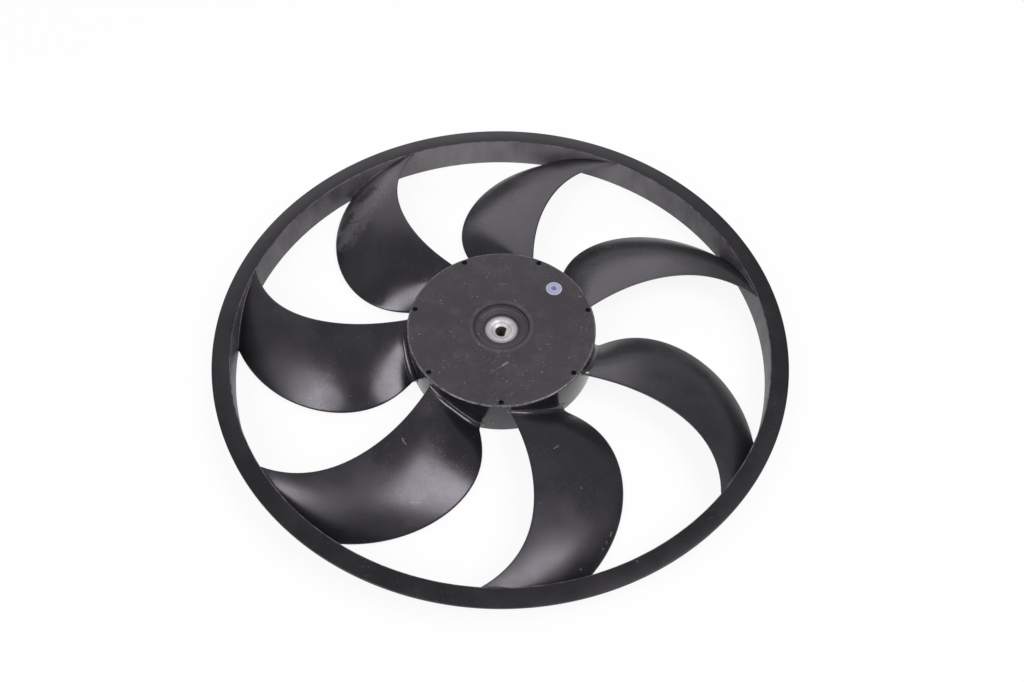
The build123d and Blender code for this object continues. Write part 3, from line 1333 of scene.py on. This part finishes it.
@dataclass
class ShaftBush:
    """Turned bush with a dished face and a D-shaped bore."""

    radius: float = 10.9
    top: float = 23.8
    length: float = 17.0
    edge: float = 0.4
    edge_steps: int = 4
    land_r: float = 8.7
    groove: float = 0.25
    groove_depth: float = 0.4
    dish_depth: float = 2.0
    dish_shares: tuple[float, ...] = (0.3, 0.65, 1.0)
    bore_r: float = 4.0
    bore_edge: float = 0.45
    flat: float = 2.75
    flat_edge_share: float = 0.4
    flat_deg: float = -14.0
    steps: int = 128
    smooth_deg: float = 30.0

    def bore(self, widen: float) -> Outline:
        """Outline of the bore.

        Args:
            widen: how far an edge widens it.

        Returns:
            Its points in metres.
        """
        r, flat = self.bore_r + widen, self.flat + widen * self.flat_edge_share
        turn = math.radians(self.flat_deg)
        c, s = math.cos(turn), math.sin(turn)
        points = []
        for k in range(self.steps):
            a = 2 * math.pi * k / self.steps
            x, y = min(r * math.cos(a), flat) * MM, r * math.sin(a) * MM
            points.append((x * c - y * s, x * s + y * c))
        return points

    def circle(self, radius: float) -> Outline:
        """Circle whose points stand beside those of the bore, in metres."""
        turn = math.radians(self.flat_deg)
        angles = [2 * math.pi * k / self.steps + turn for k in range(self.steps)]
        return [(math.cos(a) * radius * MM, math.sin(a) * radius * MM) for a in angles]

    def levels(self) -> list[tuple[Outline, float]]:
        """Rings of the bush from the bore's foot over the face and back, with heights."""
        foot, sunk = self.top - self.length, self.top - self.dish_depth
        start, end = self.bore(self.bore_edge), self.circle(self.land_r - self.groove)
        rings = [(self.bore(0), foot + self.bore_edge), (self.bore(0), sunk - self.bore_edge),
                 (start, sunk)]
        for share in self.dish_shares:
            ring = [(ix + (ox - ix) * share, iy + (oy - iy) * share)
                    for (ix, iy), (ox, oy) in zip(start, end)]
            rings.append((ring, sunk + (self.dish_depth - self.groove) * share))
        rings += [(self.circle(self.land_r), self.top - self.groove_depth),
                  (self.circle(self.land_r + self.groove), self.top)]
        inner = self.radius - self.edge
        turns = [math.pi / 2 * k / self.edge_steps for k in range(self.edge_steps + 1)]
        rings += [(self.circle(inner + self.edge * math.sin(a)),
                   self.top - self.edge + self.edge * math.cos(a)) for a in turns]
        rings += [(self.circle(inner + self.edge * math.cos(a)),
                   foot + self.edge - self.edge * math.sin(a)) for a in turns]
        return rings + [(start, foot)]

    def build(self, skin: Material) -> Object:
        """Joins the rings into the closed bush and dresses it.

        Args:
            skin: finish of the bush.

        Returns:
            The bush.
        """
        bm = bmesh.new()
        rings = [[bm.verts.new((x, y, z * MM)) for x, y in ring] for ring, z in self.levels()]
        for face in joined(rings, closed=True):
            bm.faces.new(face)
        mesh = outward_mesh("shaft_bush_turned", bm)
        return add_piece("shaft_bush_turned", mesh, self.smooth_deg, skin)


@dataclass
class InspectionDot:
    """Round paper dot on the hub face."""

    radius: float = 5.5
    thickness: float = 0.3
    edge: float = 0.12
    angle_deg: float = 42.3
    centre_r: float = 47.4
    face_z: float = 28.1
    smooth_deg: float = 40.0

    def build(self, skin: Material) -> Object:
        """Makes the dot, its edge eased.

        Args:
            skin: finish of the dot.

        Returns:
            The dot.
        """
        low, high = self.face_z, self.face_z + self.thickness
        section = rounded(((0, low, 0), (self.radius, low, 0), (self.radius, high, self.edge),
                           (0, high, 0)), steps=4)
        mesh = turned_mesh("dot_disc", section, segments=96)
        turn, out = math.radians(self.angle_deg), self.centre_r * MM
        mesh.transform(Matrix.Translation((out * math.cos(turn), out * math.sin(turn), 0)))
        return add_piece("dot_disc", mesh, self.smooth_deg, skin)


# ---- studio ----


@dataclass(frozen=True)
class SoftBox:
    """One rectangular lamp, hung on a sphere round the object and aimed at its middle."""

    name: str
    azimuth_deg: float
    elevation_deg: float
    width: float
    height: float
    glow: float
    distance: float = 1.7

    def hang(self) -> None:
        """Adds the lamp, its power such that its face is as bright as `glow`."""
        light = bpy.data.lights.new(self.name, "AREA")
        light.shape, light.size, light.size_y = "RECTANGLE", self.width, self.height
        light.energy = self.glow * math.pi * self.width * self.height
        a, e = math.radians(self.azimuth_deg), math.radians(self.elevation_deg)
        place = Vector((math.cos(a) * math.cos(e), math.sin(a) * math.cos(e), math.sin(e)))
        place *= self.distance
        turn = (-place).to_track_quat("-Z", "Y").to_matrix().to_4x4()
        add_object(self.name, light).matrix_world = Matrix.Translation(place) @ turn


@dataclass
class Studio:
    """Camera, lamps, floor and backdrop.

    The camera looks along +Y and down by `elevation` and is turned by `roll`, both in
    radians. Its `distance` counts in `unit`, and its focal length, image width and middles
    count in pixels.
    """

    unit: float = 0.19
    face_z: float = 0.0236
    focal_px: float = 969.378
    image_w: int = 1024
    middle: Pair = (501.198, 329.774)
    frame_middle: Pair = (512.0, 341.0)
    elevation: float = 0.963274540
    distance: float = 3.40247640
    roll: float = 0.0215861746
    sensor_mm: float = 36.0
    clip: Pair = (0.01, 50.0)
    band_top: float = 0.33
    band_level: float = 1.0
    dome_level: float = 0.3
    floor_r: float = 6.0
    floor_drop: float = 0.0004
    floor_tone: tuple[float, ...] = (0.86, 0.86, 0.86, 1)
    floor_glow: float = 0.9
    shadow_reach: Pair = (0.4, 1.4)
    white: tuple[float, ...] = (1, 1, 1, 1)
    lamps: tuple[SoftBox, ...] = ()

    def aim_camera(self) -> None:
        """Sets the camera up."""
        e, roll = self.elevation, self.roll
        right = Vector((1, 0, 0))
        up = Vector((0, math.sin(e), math.cos(e)))
        ahead = Vector((0, math.cos(e), -math.sin(e)))
        tx, ty = ((middle - frame_middle) / self.focal_px * self.distance
                  for middle, frame_middle in zip(self.middle, self.frame_middle))
        x = math.cos(roll) * right + math.sin(roll) * up
        y = -math.sin(roll) * right + math.cos(roll) * up
        place = (-tx * right + ty * up - self.distance * ahead) * self.unit
        camera = bpy.data.cameras.new("camera")
        camera.sensor_width = self.sensor_mm
        camera.lens = self.sensor_mm * self.focal_px / self.image_w
        camera.clip_start, camera.clip_end = self.clip
        obj = add_object("camera", camera)
        turn = Matrix((x, y, -ahead)).transposed().to_4x4()
        obj.matrix_world = Matrix.Translation(place + Vector((0, 0, self.face_z))) @ turn
        bpy.context.scene.camera = obj

    def lay_floor(self) -> None:
        """Lays a wide white floor that keeps a faint shadow and is clear from below."""
        bm = bmesh.new()
        bmesh.ops.create_circle(bm, cap_ends=True, segments=96, radius=self.floor_r)
        mesh = bpy.data.meshes.new("floor")
        bm.to_mesh(mesh)
        bm.free()
        mesh.transform(Matrix.Translation((0, 0, -self.floor_drop)))
        material = bpy.data.materials.new("floor_white")
        tree = blank_tree(material)
        place = add_node(tree, "ShaderNodeTexCoord").outputs["Object"]
        x, y, _ = coordinates(tree, place)
        away = across(x, y).band(*self.shadow_reach, self.floor_glow, 1.0)
        paper = add_node(tree, "ShaderNodeBsdfDiffuse", {"Color": self.floor_tone})
        glow = add_node(tree, "ShaderNodeEmission", {"Color": self.white})
        above = add_node(tree, "ShaderNodeMixShader",
                         {0: rays(tree, ("Camera", "Glossy", "Transmission")) * away,
                          1: paper.outputs[0], 2: glow.outputs[0]})
        behind = add_node(tree, "ShaderNodeNewGeometry").outputs["Backfacing"]
        clear = add_node(tree, "ShaderNodeBsdfTransparent")
        sides = add_node(tree, "ShaderNodeMixShader",
                         {0: behind, 1: above.outputs[0], 2: clear.outputs[0]})
        add_node(tree, "ShaderNodeOutputMaterial", {"Surface": sides.outputs[0]})
        floor = add_object("floor", mesh)
        dress(floor, material)

    def fill_world(self) -> None:
        """Gives the world a white view, a bright low band and a dimmer dome."""
        world = bpy.data.worlds.new("world")
        bpy.context.scene.world = world
        tree = blank_tree(world)
        place = add_node(tree, "ShaderNodeTexCoord").outputs["Generated"]
        _, _, height = coordinates(tree, place)
        level = height.band(0.0, self.band_top, self.band_level, self.dome_level)
        level = level.math("MAXIMUM", rays(tree, ("Camera", "Transmission")))
        sky = add_node(tree, "ShaderNodeBackground", {"Color": self.white, "Strength": level})
        add_node(tree, "ShaderNodeOutputWorld", {"Surface": sky.outputs[0]})

    def build(self) -> None:
        """Sets up the whole studio."""
        bpy.context.scene.view_settings.view_transform = "Standard"
        self.aim_camera()
        self.lay_floor()
        self.fill_world()
        for lamp in self.lamps:
            lamp.hang()


DARK = (0.004, 0.0038, 0.0045)
# Pale film: dust, partly a painted highlight on the blades' tips.
DUST_AND_SHEEN_FILM = (0.06, 0.056, 0.061)
HUB_MARKS = (
    Mark((-6.6, -37.7), (4.6, -29.2), 0.4, strength=0.3),
    Mark((1.5, -31.6), (5.0, -28.9), 0.6, strength=0.75),
    Mark((-3.2, 35.0), (3.0, 35.1), 0.6, (0.09, 0.086, 0.095), 0.7, 1.2),
    Mark((51.8, 25.9), (53.2, 25.5), 0.7, strength=0.5, ragged=0.8),
    Mark((-54.2, -8.2), (-53.6, -8.2), 0.7, strength=0.35),
)
BLADE_MARKS = (
    Mark((-59.3, -83.3), (-58.6, -85.0), 0.6, strength=0.65),
    Mark((-58.6, -85.0), (-57.0, -86.6), 0.45, strength=0.5),
    Mark((-51.5, -121.7), (-45.6, -120.9), 0.6, strength=0.25, ragged=0.8),
    Mark((34.3, -87.0), (37.5, -84.2), 0.5, strength=0.5),
    Mark((51.0, -111.4), (51.3, -111.8), 0.5, strength=0.45),
    Mark((25.6, -125.2), (26.0, -125.6), 0.6, strength=0.3),
    Mark((69.9, -135.2), (68.9, -137.6), 0.6, strength=0.5, ragged=0.8),
    Mark((66.6, -141.6), (66.3, -142.4), 0.6, strength=0.4, ragged=0.6),
    Mark((64.1, -146.0), (63.9, -146.6), 0.6, strength=0.35, ragged=0.6),
    Mark((50.0, -160.4), (50.4, -160.7), 0.7, strength=0.5),
    # Painted glint: a bright highlight spot on a blade's root fillet at its leading edge.
    Mark((56.2, -32.3), (57.0, -31.9), 1.0, (0.8, 0.78, 0.8), 0.9, 0.3),
    Mark((58.3, -34.6), (58.9, -34.2), 1.2, DARK, 0.9, 0.5, 0.4),
    # Pale film on the far left blade's tip: dust, partly painted light.
    Mark((-119.0, 95.0), (-92.0, 140.0), 20.0, (0.088, 0.082, 0.088), 1.0, 12.0, 0.12),
    Mark((-99.7, 131.2), (-108.2, 122.2), 5.2, DARK, 1.0, 7.0, 0.3),
    Mark((-114.7, 110.1), (-119.1, 99.9), 4.6, DARK, 1.0, 7.0, 0.3),
    Mark((-122.6, 88.1), (-121.0, 92.0), 3.6, DARK, 1.0, 5.0, 0.3),
    Mark((-119.0, 103.0), (-106.0, 101.0), 0.9, DARK, 0.8, 1.5, 0.3),
    # Pale films: dust, partly painted highlights on the blades.
    Mark((11.0, 148.7), (30.0, 152.0), 12.0, DUST_AND_SHEEN_FILM, 0.6, 10.0, 0.1),
    Mark((-127.3, -31.2), (-110.0, -34.0), 2.5, DUST_AND_SHEEN_FILM, 0.35, 3.0, 0.08),
)
RING_MARKS = (
    Mark((81.3, -160.6), (81.8, -160.9), 0.7, (0.2, 0.18, 0.15), 0.45),
)
LAMPS = (
    SoftBox("right_box", -20.0, 58.0, 0.82, 1.08, 6.1),
    SoftBox("left_box", -138.0, 49.0, 0.55, 1.1, 6.2),
    SoftBox("back_sheet", 102.0, 33.0, 1.6, 0.85, 1.4),
    SoftBox("front_strip", -90.0, 12.0, 1.6, 0.35, 2.6),
)


def main() -> None:
    """Builds the pieces in order and hands them to the frame."""
    skins = {Skin.HUB: HubPlastic("hub_plastic", marks=HUB_MARKS).make(),
             Skin.BLADE: BladePlastic("blade_plastic", marks=BLADE_MARKS).make(),
             Skin.RING: RingPlastic("ring_plastic", marks=RING_MARKS).make()}
    pattern = RoundPattern("round_pattern")
    hub, ring = HubCup(), RimRing()
    blades = FanBlades(hub, ring)
    moulding = [ring.build(skins[Skin.RING]),
                *hub.build(skins[Skin.HUB], pattern, blades.count, blades.first_deg),
                blades.build(skins[Skin.BLADE], pattern)]
    bush = ShaftBush().build(TurnedMetal().make())
    dot = InspectionDot().build(DotPaper().make())
    for piece, slot in [(p, "moulding") for p in moulding] + [(bush, "bush_metal"),
                                                              (dot, "dot_paper")]:
        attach(piece, BODY)
        LOG.info("%s: %d faces", piece.name, len(piece.data.polygons))
    for piece in moulding:
        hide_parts("impeller")
    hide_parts("shaft_bush")
    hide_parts("inspection_dot")
    Studio(lamps=LAMPS).build()


if __name__ == "__main__":
    logging.basicConfig(level=logging.INFO, format="%(name)s: %(message)s")
    main()
